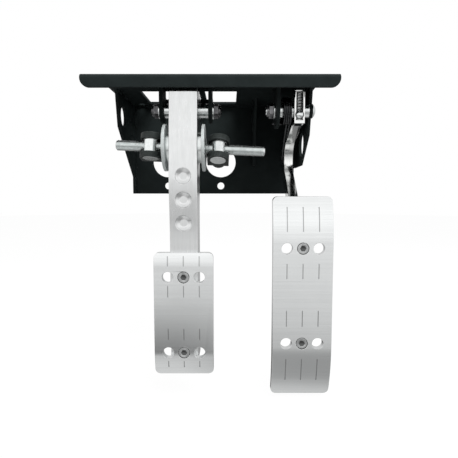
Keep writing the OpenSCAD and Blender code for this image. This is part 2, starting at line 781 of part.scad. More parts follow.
module brake_pad() pad(brake_x, brake_front_y,
    [-brake_pad_top, brake_pad_h, brake_flat, brake_flat_h, brake_roll_r],
    [brake_row_z, brake_row_dz], brake_grooves_upper, brake_grooves_lower, false);

module throttle_pad() pad(throttle_x, throttle_front_y,
    [-throttle_pad_top, throttle_pad_h, throttle_flat, throttle_flat_h, throttle_roll_r],
    [throttle_row_z, throttle_row_dz], throttle_grooves_upper, throttle_grooves_lower, true);

module pad_screw(x, front, z) difference() {
    union() {
        rod_y(front + sink_h - screw_head_h, screw_head_h, screw_head_d, x, z);
        rod_y(front + sink_h, screw_l, screw_d, x, z);
    }
    translate([x, front + sink_h - screw_head_h - 1, z]) rotate([-90, 0, 0])
        cylinder(d = hex_d, h = hex_h + 1, $fn = 6);
}

module brake_pad_screws() color(dark_steel) for (i = [0, 1])
    pad_screw(brake_x, brake_front_y, brake_row_z - i * brake_row_dz);

module throttle_pad_screws() color(dark_steel) for (i = [0, 1])
    pad_screw(throttle_x, throttle_front_y, throttle_row_z - i * throttle_row_dz);

module throttle_bolt() color(zinc) {
    dome_d = 14;
    dome_h = 3.5;
    dome_r = 9.4;
    tip_x = throttle_ear_x - ear_t - washer_t - nut_h - stud_out;
    difference() {
        union() {
            rod_x(tip_x, gusset_x + sheet_t - tip_x, stud_d, pivot_y, pivot_z);
            translate([gusset_x + sheet_t, pivot_y, pivot_z]) rotate([0, 90, 0]) rotate_extrude()
                intersection() {
                    square([dome_d / 2, dome_h]);
                    translate([0, dome_h - dome_r]) circle(dome_r);
                }
        }
        translate([gusset_x + sheet_t + dome_h - hex_h, pivot_y, pivot_z]) rotate([0, 90, 0])
            cylinder(d = hex_d, h = hex_h + 1, $fn = 6);
    }
}

module throttle_nut() color(zinc) lock_nut(throttle_ear_x - ear_t - washer_t, -1);

module throttle_washer() color(zinc)
    tube_x(throttle_ear_x - ear_t - washer_t, washer_t, washer_d, bolt_bore, pivot_y, pivot_z);

module throttle_sleeve() color(zinc)
    tube_x(throttle_ear_x, gusset_x - throttle_ear_x, sleeve_d, bolt_bore, pivot_y, pivot_z);

module throttle_bush() color(zinc)
    tube_x(throttle_ear_x + side_gap, gusset_x - throttle_ear_x - 2 * side_gap, bush_d, bush_bore, pivot_y, pivot_z);

// The part of the throttle arm that goes round its bend
module lever_bend() {
    first = tangent_angle(foot_top, 1);
    last = tangent_angle(hub, -1);
    intersection() {
        difference() {
            translate(knee) circle(knee_r + lever_w / 2);
            translate(knee) circle(knee_r - lever_w / 2);
        }
        polygon([knee, knee + 3 * knee_r * toward(first), knee + 3 * knee_r * toward((first + last) / 2),
                 knee + 3 * knee_r * toward(last)]);
    }
}

module throttle_arm_outline() {
    link(hub, hub_r, bend_start, lever_w / 2);
    lever_bend();
    link(bend_end, lever_w / 2, foot_top, foot_r);
    link(foot_top, foot_r, foot_end, foot_r - eps);
    translate([pivot_y - head_fwd, pivot_z + head_top - slot_l - chin_h])
        square([head_fwd, slot_l + chin_h - head_r]);
    translate([pivot_y - head_fwd + head_r, pivot_z]) square([head_fwd + hub_r - 2 * head_r, head_top]);
    translate([pivot_y, pivot_z]) square([hub_r, head_top - head_r]);
    for (y = [-head_fwd + head_r, hub_r - head_r])
        translate([pivot_y + y, pivot_z + head_top - head_r]) circle(head_r);
}

module throttle_arm() color(alloy) difference() {
    along_x(throttle_x - lever_t / 2, lever_t) throttle_arm_outline();
    rod_x(throttle_x - lever_t, 2 * lever_t, bush_seat, pivot_y, pivot_z);
    translate([throttle_x - slot_w / 2, pivot_y - head_fwd - 1, slot_top - slot_l])
        cube([slot_w, slot_d + 1, slot_l]);
    rod_y(pivot_y - head_fwd - 1, slot_d + 1, nipple_d + 2 * side_gap, throttle_x, nipple_z);
    for (i = [0, 1])
        rod_y(foot_y - 1, screw_l - pad_t + sink_h + 1, screw_d + 2 * fit_gap, throttle_x,
              throttle_row_z - i * throttle_row_dz);
}

module cable_nipple() color(zinc) translate([throttle_x, nipple_y, nipple_z]) sphere(d = nipple_d);

module cable_spring() color(zinc) {
    low = nipple_z + nipple_d / 2 + cable_wire_d / 2;
    high = slot_top - cable_wire_d / 2 - 0.1;
    steps = 14 * cable_turns;
    wire([for (i = [0:steps])
        [throttle_x + cable_spring_r * cos(360 * i / 14),
         pivot_y - head_fwd + slot_d / 2 + cable_spring_r * sin(360 * i / 14),
         low + (high - low) * i / steps]], cable_wire_d / 2, 6);
}

// Return spring: a leg through the throttle tab, the coil, and a leg down the arm that hooks round its bend
module return_spring() color(dark_steel) {
    r = coil_d / 2;
    leg_end = knee + (knee_r + lever_w / 2 + wire_d / 2 + side_gap) * toward(hook_angle);
    span = leg_end - hub;
    heading = atan2(span[1], span[0]) - asin(r / norm(span));
    leg_start = hub + r * toward(heading + 90);
    steps = 20 * coil_turns;
    sweep = 360 * coil_turns + heading + 180;
    start_x = leg_x - coil_turns * coil_pitch;
    wire(concat(
        [for (x = [throttle_ear_x - ear_t - tail_l, throttle_ear_x - ear_t, throttle_ear_x])
            [x, pivot_y, pivot_z - r]],
        [for (i = [0:steps]) let (a = -90 + sweep * i / steps)
            [start_x + coil_turns * coil_pitch * i / steps, pivot_y + r * cos(a), pivot_z + r * sin(a)]],
        [for (s = [0.3, 1]) let (p = leg_start + s * (leg_end - leg_start)) [leg_x, p[0], p[1]]],
        [for (x = [wire_d, lever_t * 0.6]) [leg_x + x, leg_end[0], leg_end[1]]]), wire_d / 2, 8);
}

top_plate();
rear_wall();
left_gusset();
right_gusset();
centre_rib();
brake_ear_left();
brake_ear_right();
ear_strap();
throttle_ear();
brake_stud();
brake_nuts();
brake_washers();
brake_sleeve();
brake_bush();
brake_arm();
balance_tube();
tube_discs();
bearing_race();
bearing_ball();
brake_pad();
brake_pad_screws();
balance_bar();
trunnion_left();
trunnion_right();
clevis_left();
clevis_right();
throttle_bolt();
throttle_nut();
throttle_washer();
throttle_sleeve();
throttle_bush();
return_spring();
throttle_arm();
throttle_pad();
throttle_pad_screws();
cable_nipple();
cable_spring();
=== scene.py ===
"""Looks of a hanging pedal box: a black bracket, a brake pedal with a balance bar and a throttle pedal.

Every piece stands where its solid stands in the frame. Most pieces are copies of their solids with broken
edges. Threads and weld beads are new meshes, and a spring's wire is its solid made round. Lengths are in
metres and angles in degrees.
"""

import json
import logging
import math
from collections import Counter
from collections.abc import Callable
from dataclasses import dataclass, field
from enum import Enum

import bmesh
import bpy
from mathutils import Matrix, Vector

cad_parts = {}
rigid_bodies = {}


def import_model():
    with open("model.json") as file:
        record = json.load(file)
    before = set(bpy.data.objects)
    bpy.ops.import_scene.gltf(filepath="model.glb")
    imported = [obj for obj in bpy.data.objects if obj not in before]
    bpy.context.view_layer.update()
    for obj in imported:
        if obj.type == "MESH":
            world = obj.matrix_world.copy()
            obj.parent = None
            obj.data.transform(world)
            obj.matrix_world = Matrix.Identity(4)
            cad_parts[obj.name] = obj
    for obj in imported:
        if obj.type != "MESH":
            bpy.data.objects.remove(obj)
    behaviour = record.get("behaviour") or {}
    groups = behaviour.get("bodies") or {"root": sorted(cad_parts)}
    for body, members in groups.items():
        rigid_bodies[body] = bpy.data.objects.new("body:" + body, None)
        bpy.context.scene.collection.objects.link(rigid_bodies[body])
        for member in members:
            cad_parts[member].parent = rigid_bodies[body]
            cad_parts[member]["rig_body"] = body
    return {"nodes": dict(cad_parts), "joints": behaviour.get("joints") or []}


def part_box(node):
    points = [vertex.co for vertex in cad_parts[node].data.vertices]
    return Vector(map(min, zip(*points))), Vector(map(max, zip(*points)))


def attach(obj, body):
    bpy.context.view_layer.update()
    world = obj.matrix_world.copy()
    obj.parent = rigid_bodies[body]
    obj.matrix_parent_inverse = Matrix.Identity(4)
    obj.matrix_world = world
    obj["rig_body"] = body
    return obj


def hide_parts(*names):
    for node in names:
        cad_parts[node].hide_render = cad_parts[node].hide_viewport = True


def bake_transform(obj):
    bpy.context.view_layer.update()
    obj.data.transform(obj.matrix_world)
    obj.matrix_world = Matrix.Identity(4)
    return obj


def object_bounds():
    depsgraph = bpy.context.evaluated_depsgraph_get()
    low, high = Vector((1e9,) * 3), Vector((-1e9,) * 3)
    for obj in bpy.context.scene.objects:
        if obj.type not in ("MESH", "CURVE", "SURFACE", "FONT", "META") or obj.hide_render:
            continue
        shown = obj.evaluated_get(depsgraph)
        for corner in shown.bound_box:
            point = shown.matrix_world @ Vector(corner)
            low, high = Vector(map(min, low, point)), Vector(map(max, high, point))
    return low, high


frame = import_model()
CAD_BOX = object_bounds()

LOG = logging.getLogger("pedal_box")
MM = 0.001
MERGE = 1e-6
EDGE_ATTRIBUTE = "edge"
# Marks the faces whose base colour takes painted shade.
RECESS_SHADE_ATTRIBUTE = "recess"

Colour = tuple[float, float, float]
Point = tuple[float, float, float]
Span = tuple[float, float]
Level = tuple[float, float]
FaceTest = Callable[[bmesh.types.BMFace], bool]


class Slot(Enum):
    """Material slots of the part's record."""

    BRACKET = "bracket_black"
    ARM = "arm_alloy"
    PAD = "pad_alloy"
    ZINC = "zinc_steel"
    DARK = "dark_steel"
    PHOSPHATE = "phosphate_steel"
    BRONZE = "bronze"


class Effect(Enum):
    """Shader groups that more than one finish uses."""

    GRAIN = "surface_grain"
    BRUSH = "brush_lines"
    EDGE = "edge_wear"


@dataclass
class NodeSketch:
    """A shader tree with short calls that add and join nodes."""

    tree: bpy.types.NodeTree

    def add(self, kind: str, **settings: object) -> bpy.types.Node:
        """Adds a node and sets its properties.

        Args:
            kind: Blender's name for the node type.
            settings: Property names and values.

        Returns:
            The new node.
        """
        node = self.tree.nodes.new(kind)
        for key, value in settings.items():
            setattr(node, key, value)
        return node

    def feed(self, socket: bpy.types.NodeSocket, value: object) -> None:
        """Links a socket to another one, or sets its plain value.

        Args:
            socket: Socket that takes the value.
            value: Another socket, or a plain value.
        """
        if isinstance(value, bpy.types.NodeSocket):
            self.tree.links.new(value, socket)
        else:
            socket.default_value = value

    def math(self, operation: str, first: object, second: object) -> bpy.types.NodeSocket:
        """Adds one arithmetic step.

        Args:
            operation: Name of the Math node's operation.
            first: Left value or socket.
            second: Right value or socket.

        Returns:
            The result's socket.
        """
        node = self.add("ShaderNodeMath", operation=operation)
        self.feed(node.inputs[0], first)
        self.feed(node.inputs[1], second)
        return node.outputs[0]

    def spread(
        self, value: object, low: float, high: float, to_low: float, to_high: float,
    ) -> bpy.types.NodeSocket:
        """Maps a value from one range to another and clamps it.

        Args:
            value: Socket or number to map.
            low: Start of the range that comes in.
            high: End of the range that comes in.
            to_low: What the start becomes.
            to_high: What the end becomes.

        Returns:
            The mapped value's socket.
        """
        node = self.add("ShaderNodeMapRange", clamp=True)
        for socket, number in zip(node.inputs, (value, low, high, to_low, to_high)):
            self.feed(socket, number)
        return node.outputs[0]

    def noise(self, vector: bpy.types.NodeSocket, scale: object, detail: float) -> bpy.types.NodeSocket:
        """Adds a noise pattern.

        Args:
            vector: Coordinates of the pattern.
            scale: Cells per metre, as a number or a socket.
            detail: Number of octaves.

        Returns:
            The pattern's value socket.
        """
        node = self.add("ShaderNodeTexNoise")
        self.feed(node.inputs["Vector"], vector)
        self.feed(node.inputs["Scale"], scale)
        self.feed(node.inputs["Detail"], detail)
        return node.outputs["Fac"]

    def mix(self, share: object, first: object, second: object) -> bpy.types.NodeSocket:
        """Mixes two colours.

        Args:
            share: How much of the second colour shows.
            first: Colour or socket at a share of 0.
            second: Colour or socket at a share of 1.

        Returns:
            The mixed colour's socket.
        """
        node = self.add("ShaderNodeMix", data_type="RGBA", clamp_factor=True)
        self.feed(node.inputs[0], share)
        self.feed(node.inputs[6], first)
        self.feed(node.inputs[7], second)
        return node.outputs[2]


class EffectLibrary:
    """Builds each shared shader group once. A span is the part of a pattern's range that is used."""

    cloud_octaves: float = 5.0
    fine_octaves: float = 3.0
    spot_octaves: float = 4.0
    pebbles: float = 16.0
    coarse_streak: float = 0.35
    fine_streak: float = 1.6
    streak_span: Span = (0.3, 0.7)
    spot_span: Span = (0.38, 0.62)
    least_spot: float = 0.15

    def __init__(self) -> None:
        """Makes the three groups."""
        self.groups: dict[Effect, bpy.types.NodeTree] = {
            Effect.GRAIN: self._grain(),
            Effect.BRUSH: self._brush(),
            Effect.EDGE: self._edge(),
        }

    def _start(
        self, effect: Effect, inputs: dict[str, str], outputs: tuple[str, ...],
    ) -> tuple[NodeSketch, bpy.types.Node, bpy.types.Node]:
        """Makes an empty group with its sockets.

        Args:
            effect: Which group it is.
            inputs: Socket type of each named input.
            outputs: Names of the value outputs.

        Returns:
            The sketch, the group's input node and its output node.
        """
        tree = bpy.data.node_groups.new(effect.value, "ShaderNodeTree")
        for name, kind in inputs.items():
            tree.interface.new_socket(name, in_out="INPUT", socket_type=kind)
        for name in outputs:
            tree.interface.new_socket(name, in_out="OUTPUT", socket_type="NodeSocketFloat")
        sketch = NodeSketch(tree)
        return sketch, sketch.add("NodeGroupInput"), sketch.add("NodeGroupOutput")

    def _grain(self) -> bpy.types.NodeTree:
        """Makes a cloudy tone and a fine pebbled height, both even in every direction.

        Returns:
            The new group.
        """
        sketch, given, made = self._start(Effect.GRAIN, {"Scale": "NodeSocketFloat"}, ("Tone", "Height"))
        place = sketch.add("ShaderNodeTexCoord").outputs["Object"]
        scale = given.outputs["Scale"]
        pebbled = sketch.math("MULTIPLY", scale, self.pebbles)
        sketch.feed(made.inputs["Tone"], sketch.noise(place, scale, self.cloud_octaves))
        sketch.feed(made.inputs["Height"], sketch.noise(place, pebbled, self.fine_octaves))
        return sketch.tree

    def _brush(self) -> bpy.types.NodeTree:
        """Makes long fine scratches, a pattern stretched by a scale of its own along each axis.

        Returns:
            The new group.
        """
        inputs = {"Stretch": "NodeSocketVector"}
        sketch, given, made = self._start(Effect.BRUSH, inputs, ("Streak", "Height"))
        place = sketch.add("ShaderNodeTexCoord").outputs["Object"]
        drawn = sketch.add("ShaderNodeVectorMath", operation="MULTIPLY")
        sketch.feed(drawn.inputs[0], place)
        sketch.feed(drawn.inputs[1], given.outputs["Stretch"])
        coarse = sketch.noise(drawn.outputs[0], self.coarse_streak, self.fine_octaves)
        fine = sketch.noise(drawn.outputs[0], self.fine_streak, self.fine_octaves)
        both = sketch.math("MULTIPLY", sketch.math("ADD", coarse, fine), 0.5)
        sketch.feed(made.inputs["Streak"], sketch.spread(both, *self.streak_span, 0.0, 1.0))
        sketch.feed(made.inputs["Height"], fine)
        return sketch.tree

    def _edge(self) -> bpy.types.NodeTree:
        """Makes a broken mask along the edges, where a finish is rubbed.

        Returns:
            The new group.
        """
        sketch, given, made = self._start(Effect.EDGE, {"Breakup": "NodeSocketFloat"}, ("Mask",))
        place = sketch.add("ShaderNodeTexCoord").outputs["Object"]
        edge = sketch.add("ShaderNodeAttribute", attribute_name=EDGE_ATTRIBUTE).outputs["Fac"]
        pattern = sketch.noise(place, given.outputs["Breakup"], self.spot_octaves)
        spots = sketch.spread(pattern, *self.spot_span, self.least_spot, 1.0)
        sketch.feed(made.inputs["Mask"], sketch.math("MULTIPLY", edge, spots))
        return sketch.tree


@dataclass(frozen=True)
class Finish:
    """One surface finish.

    The tone runs from deep to colour over the surface, and edges take the worn colour. Roughness is a pair,
    its smoothest and its roughest. A brush of zeros means an even grain instead of scratches. Recess shade
    is how far faces in grooves and sockets are darkened with painted shade, towards the deep colour scaled
    by the shade tone. The last fields are shares and spans that all finishes have in common.
    """

    name: str
    slot: Slot
    colour: Colour
    deep: Colour
    worn: Colour
    metallic: float
    roughness: Span
    specular: float = 0.5
    grain: float = 90.0
    brush: Point = (0.0, 0.0, 0.0)
    bump: float = 0.1
    relief: float = 0.05 * MM
    wear: float = 0.6
    # How far recess faces are darkened with painted shade.
    recess_shade: float = 0.9
    streak_share: float = 0.65
    breakup: float = 4.0
    # Share of the deep colour that the painted shade in recesses darkens towards.
    shade_tone: float = 0.12
    tone_span: Span = (0.25, 0.75)
    sheen_span: Span = (0.2, 0.8)

    def material(self, effects: EffectLibrary) -> bpy.types.Material:
        """Builds the finish's material.

        Args:
            effects: The shared shader groups.

        Returns:
            The new material.
        """
        made = bpy.data.materials.new(self.name)
        made.use_nodes = True
        sketch = NodeSketch(made.node_tree)
        shader = made.node_tree.nodes["Principled BSDF"]
        shader.inputs["Metallic"].default_value = self.metallic
        shader.inputs["Specular IOR Level"].default_value = self.specular

        grain = sketch.add("ShaderNodeGroup", node_tree=effects.groups[Effect.GRAIN])
        grain.inputs["Scale"].default_value = self.grain
        tone, height = grain.outputs["Tone"], grain.outputs["Height"]
        if any(self.brush):
            brush = sketch.add("ShaderNodeGroup", node_tree=effects.groups[Effect.BRUSH])
            brush.inputs["Stretch"].default_value = self.brush
            cloud = sketch.math("MULTIPLY", grain.outputs["Tone"], 1.0 - self.streak_share)
            tone = sketch.math("MULTIPLY_ADD", brush.outputs["Streak"], self.streak_share)
            sketch.feed(tone.node.inputs[2], cloud)
            height = brush.outputs["Height"]
        edge = sketch.add("ShaderNodeGroup", node_tree=effects.groups[Effect.EDGE])
        edge.inputs["Breakup"].default_value = self.grain * self.breakup

        shade = sketch.spread(tone, *self.tone_span, 0.0, 1.0)
        tinted = sketch.mix(shade, (*self.deep, 1.0), (*self.colour, 1.0))
        worn = sketch.math("MULTIPLY", edge.outputs["Mask"], self.wear)
        rubbed = sketch.mix(worn, tinted, (*self.worn, 1.0))
        # Recess faces get painted shade: their base colour is pulled towards a darkened deep colour,
        # standing in for the shade in grooves, sockets and slots.
        recess = sketch.add("ShaderNodeAttribute", attribute_name=RECESS_SHADE_ATTRIBUTE).outputs["Fac"]
        dark = tuple(self.shade_tone * level for level in self.deep)
        recess_shaded = sketch.mix(sketch.math("MULTIPLY", recess, self.recess_shade), rubbed, (*dark, 1.0))
        sketch.feed(shader.inputs["Base Color"], recess_shaded)
        smooth, rough = self.roughness
        sketch.feed(shader.inputs["Roughness"], sketch.spread(tone, *self.sheen_span, rough, smooth))
        bump = sketch.add("ShaderNodeBump")
        bump.inputs["Strength"].default_value = self.bump
        bump.inputs["Distance"].default_value = self.relief
        sketch.feed(bump.inputs["Height"], height)
        sketch.feed(shader.inputs["Normal"], bump.outputs["Normal"])
        return made


POWDER_COAT = Finish(
    "black_powder_coat", Slot.BRACKET, (0.019, 0.024, 0.024), (0.014, 0.0178, 0.0178), (0.036, 0.041, 0.041),
    0.0, (0.46, 0.60), specular=0.03, grain=70.0, bump=0.35, relief=0.12 * MM, wear=0.35,
)
ARM_ALLOY = Finish(
    "blasted_arm_alloy", Slot.ARM, (0.77, 0.78, 0.78), (0.70, 0.71, 0.71), (0.88, 0.88, 0.88),
    1.0, (0.26, 0.34), grain=120.0, brush=(900.0, 900.0, 40.0), bump=0.08,
)
LEVER_ALLOY = Finish(
    "polished_lever_alloy", Slot.ARM, (0.86, 0.87, 0.86), (0.78, 0.79, 0.78), (0.93, 0.93, 0.92),
    1.0, (0.08, 0.15), grain=120.0, brush=(900.0, 300.0, 120.0), bump=0.08,
)
# The pad's engraving gets a lighter painted shade than other recesses.
PAD_ALLOY = Finish(
    "brushed_pad_alloy", Slot.PAD, (0.83, 0.845, 0.845), (0.765, 0.78, 0.78), (0.92, 0.92, 0.92),
    1.0, (0.14, 0.20), grain=60.0, brush=(14.0, 500.0, 2600.0), bump=0.10, recess_shade=0.5,
)
SCREW_STEEL = Finish(
    "screw_steel", Slot.DARK, (0.58, 0.59, 0.59), (0.44, 0.45, 0.45), (0.72, 0.72, 0.72),
    1.0, (0.26, 0.38), grain=260.0, bump=0.12,
)
ZINC_PLATE = Finish(
    "zinc_plate", Slot.ZINC, (0.84, 0.87, 0.865), (0.72, 0.75, 0.745), (0.90, 0.91, 0.90),
    1.0, (0.18, 0.30), grain=220.0, bump=0.08,
)
DULL_ZINC = Finish(
    "dull_zinc_plate", Slot.ZINC, (0.62, 0.66, 0.655), (0.52, 0.56, 0.555), (0.74, 0.76, 0.755),
    0.55, (0.46, 0.60), grain=160.0, bump=0.12,
)
DARK_STEEL = Finish(
    "dark_steel", Slot.DARK, (0.13, 0.13, 0.135), (0.065, 0.065, 0.068), (0.30, 0.30, 0.30),
    1.0, (0.20, 0.34), grain=260.0, bump=0.12,
)
NUT_STEEL = Finish(
    "dull_nut_steel", Slot.ZINC, (0.20, 0.20, 0.205), (0.11, 0.11, 0.115), (0.46, 0.46, 0.46),
    1.0, (0.20, 0.34), grain=260.0, bump=0.12,
)
OILED_STEEL = Finish(
    "oiled_spring_steel", Slot.DARK, (0.070, 0.072, 0.074), (0.040, 0.042, 0.044), (0.16, 0.16, 0.16),
    1.0, (0.20, 0.34), grain=260.0, bump=0.10,
)
PHOSPHATE = Finish(
    "phosphate_steel", Slot.PHOSPHATE, (0.030, 0.036, 0.035), (0.018, 0.022, 0.021), (0.10, 0.11, 0.11),
    0.4, (0.42, 0.60), specular=0.35, grain=300.0, bump=0.25, relief=0.08 * MM,
)
BRONZE = Finish(
    "bearing_bronze", Slot.BRONZE, (0.45, 0.32, 0.15), (0.33, 0.22, 0.10), (0.60, 0.45, 0.24),
    1.0, (0.28, 0.44), grain=240.0, bump=0.10,
)


@dataclass(frozen=True)
class Twist:
    """How a spring's wire goes from the body that holds it to the body that turns it."""

    body: str
    start: Vector
    end: Vector


@dataclass
class Workshop:
    """Turns meshes into finished pieces that ride on their bodies.

    Facets within the flat angle are one face, an edge past the crisp angle is broken, and shading stays
    sharp past the smooth angle.
    """

    effects: EffectLibrary
    flat_angle: float = 0.4
    crisp_angle: float = 28.0
    smooth_angle: float = 52.0
    break_segments: int = 2
    materials: dict[str, bpy.types.Material] = field(default_factory=dict)

    def material(self, finish: Finish) -> bpy.types.Material:
        """Gives a finish's material, made at its first use.

        Args:
            finish: The finish.

        Returns:
            Its material.
        """
        if finish.name not in self.materials:
            self.materials[finish.name] = finish.material(self.effects)
        return self.materials[finish.name]

    def softened(self, node: str, width: float, recess: FaceTest | None = None) -> bmesh.types.BMesh:
        """Copies a solid's mesh and breaks its sharp edges.

        Args:
            node: Name of the solid.
            width: Width of the broken edge.
            recess: Tells a face that lies in a groove or socket. Its edges stay sharp and it takes painted
                shade.

        Returns:
            The new mesh, with broken edges and recesses marked in their attributes, which the finish darkens
            with painted shade.
        """
        bm = bmesh.new()
        bm.from_mesh(frame["nodes"][node].data)
        bmesh.ops.remove_doubles(bm, verts=bm.verts, dist=MERGE)
        flat = math.radians(self.flat_angle)
        bmesh.ops.dissolve_limit(bm, angle_limit=flat, verts=bm.verts, edges=bm.edges)
        limit = math.radians(self.crisp_angle)
        inner = {f for f in bm.faces if recess is not None and recess(f)}
        crisp = [e for e in bm.edges if e.is_manifold and e.calc_face_angle(0.0) > limit
                 and inner.isdisjoint(e.link_faces)]
        mark = bm.loops.layers.float.new(EDGE_ATTRIBUTE)
        broken = bmesh.ops.bevel(
            bm, geom=crisp, offset=width, offset_type="OFFSET", segments=self.break_segments, profile=0.5,
            affect="EDGES", clamp_overlap=False, material=-1, loop_slide=True,
        )
        for face in broken["faces"]:
            for loop in face.loops:
                loop[mark] = 1.0
        # Faces in a groove or socket are marked for painted shade in the finish.
        if recess is not None:
            shade = bm.loops.layers.float.new(RECESS_SHADE_ATTRIBUTE)
            for face in filter(recess, bm.faces):
                for loop in face.loops:
                    loop[shade] = 1.0
        return bm

    def piece(
        self, name: str, bm: bmesh.types.BMesh, finish: Finish, near: str, *nodes: str,
        twist: Twist | None = None,
    ) -> bpy.types.Object:
        """Makes an object of a mesh, gives it a finish and lets it stand for its solids.

        Args:
            name: Name of the new piece.
            bm: Its mesh, which is freed.
            finish: Its finish.
            near: The solid whose body carries it.
            nodes: The solids that it stands for.
            twist: How it would bend towards a second body. Only whether one is given is read: such a piece
                stays where it is and is not put on a body.

        Returns:
            The new object.
        """
        mesh = bpy.data.meshes.new(name)
        bm.to_mesh(mesh)
        bm.free()
        mesh.shade_smooth()
        mesh.set_sharp_from_angle(angle=math.radians(self.smooth_angle))
        mesh.materials.append(self.material(finish))
        obj = bpy.data.objects.new(name, mesh)
        bpy.context.scene.collection.objects.link(obj)
        body = frame["nodes"][near]["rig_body"]
        if twist is None:
            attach(obj, body)
        else:
            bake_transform(obj)
        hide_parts(*nodes)
        LOG.info("%s: %d faces, %s", name, len(mesh.polygons), finish.name)
        return obj

    def dress(
        self, node: str, finish: Finish, width: float, recess: FaceTest | None = None,
    ) -> bpy.types.Object:
        """Makes the finished piece of one solid, with broken edges and even shading.

        Args:
            node: Name of the solid.
            finish: Its finish.
            width: Width of its broken edges.
            recess: Tells a face that lies in a groove or socket, which takes painted shade.

        Returns:
            The new object.
        """
        obj = self.piece(f"{node}_finished", self.softened(node, width, recess), finish, node, node)
        obj.modifiers.new("even_shading", "WEIGHTED_NORMAL").keep_sharp = True
        return obj

    def wire(self, node: str, finish: Finish, twist: Twist | None = None) -> bpy.types.Object:
        """Makes a spring's wire round by subdividing its solid.

        Args:
            node: Name of the solid.
            finish: Its finish.
            twist: Handed on to the piece, which only reads whether it is given.

        Returns:
            The new object.
        """
        bm = bmesh.new()
        bm.from_mesh(frame["nodes"][node].data)
        bmesh.ops.remove_doubles(bm, verts=bm.verts, dist=MERGE)
        obj = self.piece(f"{node}_finished", bm, finish, node, node, twist=twist)
        rounding = obj.modifiers.new("round_wire", "SUBSURF")
        rounding.levels = rounding.render_levels = 1
        return obj


@dataclass(frozen=True)
class Thread:
    """A threaded rod along X, with chamfered ends. The tooth's depth and crest are given in pitches."""

    length: float
    radius: float
    pitch: float = 1.25 * MM
    chamfer: float = 1.0 * MM
    steps: int = 20
    depth: float = 0.6
    crest_span: Span = (-0.62, -0.45)

    def mesh(self) -> bmesh.types.BMesh:
        """Winds one tooth round the rod and closes both ends.

        Returns:
            The rod's mesh, from X 0 to its length.
        """
        bm = bmesh.new()
        crest = self.radius
        root = crest - self.depth * self.pitch
        rise, fall = self.crest_span
        tooth = [(-1.0, root), (rise, crest), (fall, crest), (0.0, root)]
        points = [bm.verts.new((x * self.pitch, 0.0, r)) for x, r in tooth]
        edges = [bm.edges.new(pair) for pair in zip(points, points[1:])]
        turns = math.ceil(self.length / self.pitch) + 2
        bmesh.ops.spin(
            bm, geom=points + edges, cent=(0, 0, 0), axis=(1, 0, 0), dvec=(self.pitch / self.steps, 0, 0),
            angle=2.0 * math.pi * turns, steps=self.steps * turns, use_merge=False,
        )
        bmesh.ops.remove_doubles(bm, verts=bm.verts, dist=MERGE)
        for end, heading in ((0.0, -1.0), (self.length, 1.0)):
            bmesh.ops.bisect_plane(
                bm, geom=bm.verts[:] + bm.edges[:] + bm.faces[:], dist=MERGE,
                plane_co=(end, 0, 0), plane_no=(heading, 0, 0), clear_outer=True,
            )
        bmesh.ops.holes_fill(bm, edges=[e for e in bm.edges if e.is_boundary], sides=0)
        for vert in bm.verts:
            reach = math.hypot(vert.co.y, vert.co.z)
            allowed = crest - self.chamfer + min(vert.co.x, self.length - vert.co.x)
            if reach > allowed:
                vert.co.yz = vert.co.yz * (allowed / reach)
        bmesh.ops.recalc_face_normals(bm, faces=bm.faces)
        return bm


@dataclass(frozen=True)
class WeldBead:
    """A rippled bead of weld along a straight seam. Swell and rounding are shares of its radius."""

    start: Vector
    end: Vector
    radius: float = 1.9 * MM
    ripple: float = 2.1 * MM
    swell: float = 0.13
    rounding: float = 1.6
    step: float = 0.42 * MM
    least_steps: int = 8
    sides: int = 10

    def add_to(self, bm: bmesh.types.BMesh) -> None:
        """Lays the bead, with rounded ends, into a mesh.

        Args:
            bm: Mesh that takes the bead.
        """
        run = self.end - self.start
        along = run.normalized()
        across = along.orthogonal().normalized()
        steps = max(self.least_steps, round(run.length / self.step))
        grid = bmesh.ops.create_grid(bm, x_segments=steps, y_segments=self.sides, size=0.5)
        for vert in grid["verts"]:
            place = (vert.co.x + 0.5) * run.length
            turn = 2.0 * math.pi * (vert.co.y + 0.5)
            left = min(place, run.length - place) / (self.rounding * self.radius)
            height = self.radius * (1.0 + self.swell * math.sin(2.0 * math.pi * place / self.ripple))
            height *= math.sqrt(max(0.0, 1.0 - max(0.0, 1.0 - left) ** 2))
            side = across * math.cos(turn) + along.cross(across) * math.sin(turn)
            vert.co = self.start + along * place + side * height
        bmesh.ops.remove_doubles(bm, verts=grid["verts"], dist=MERGE)


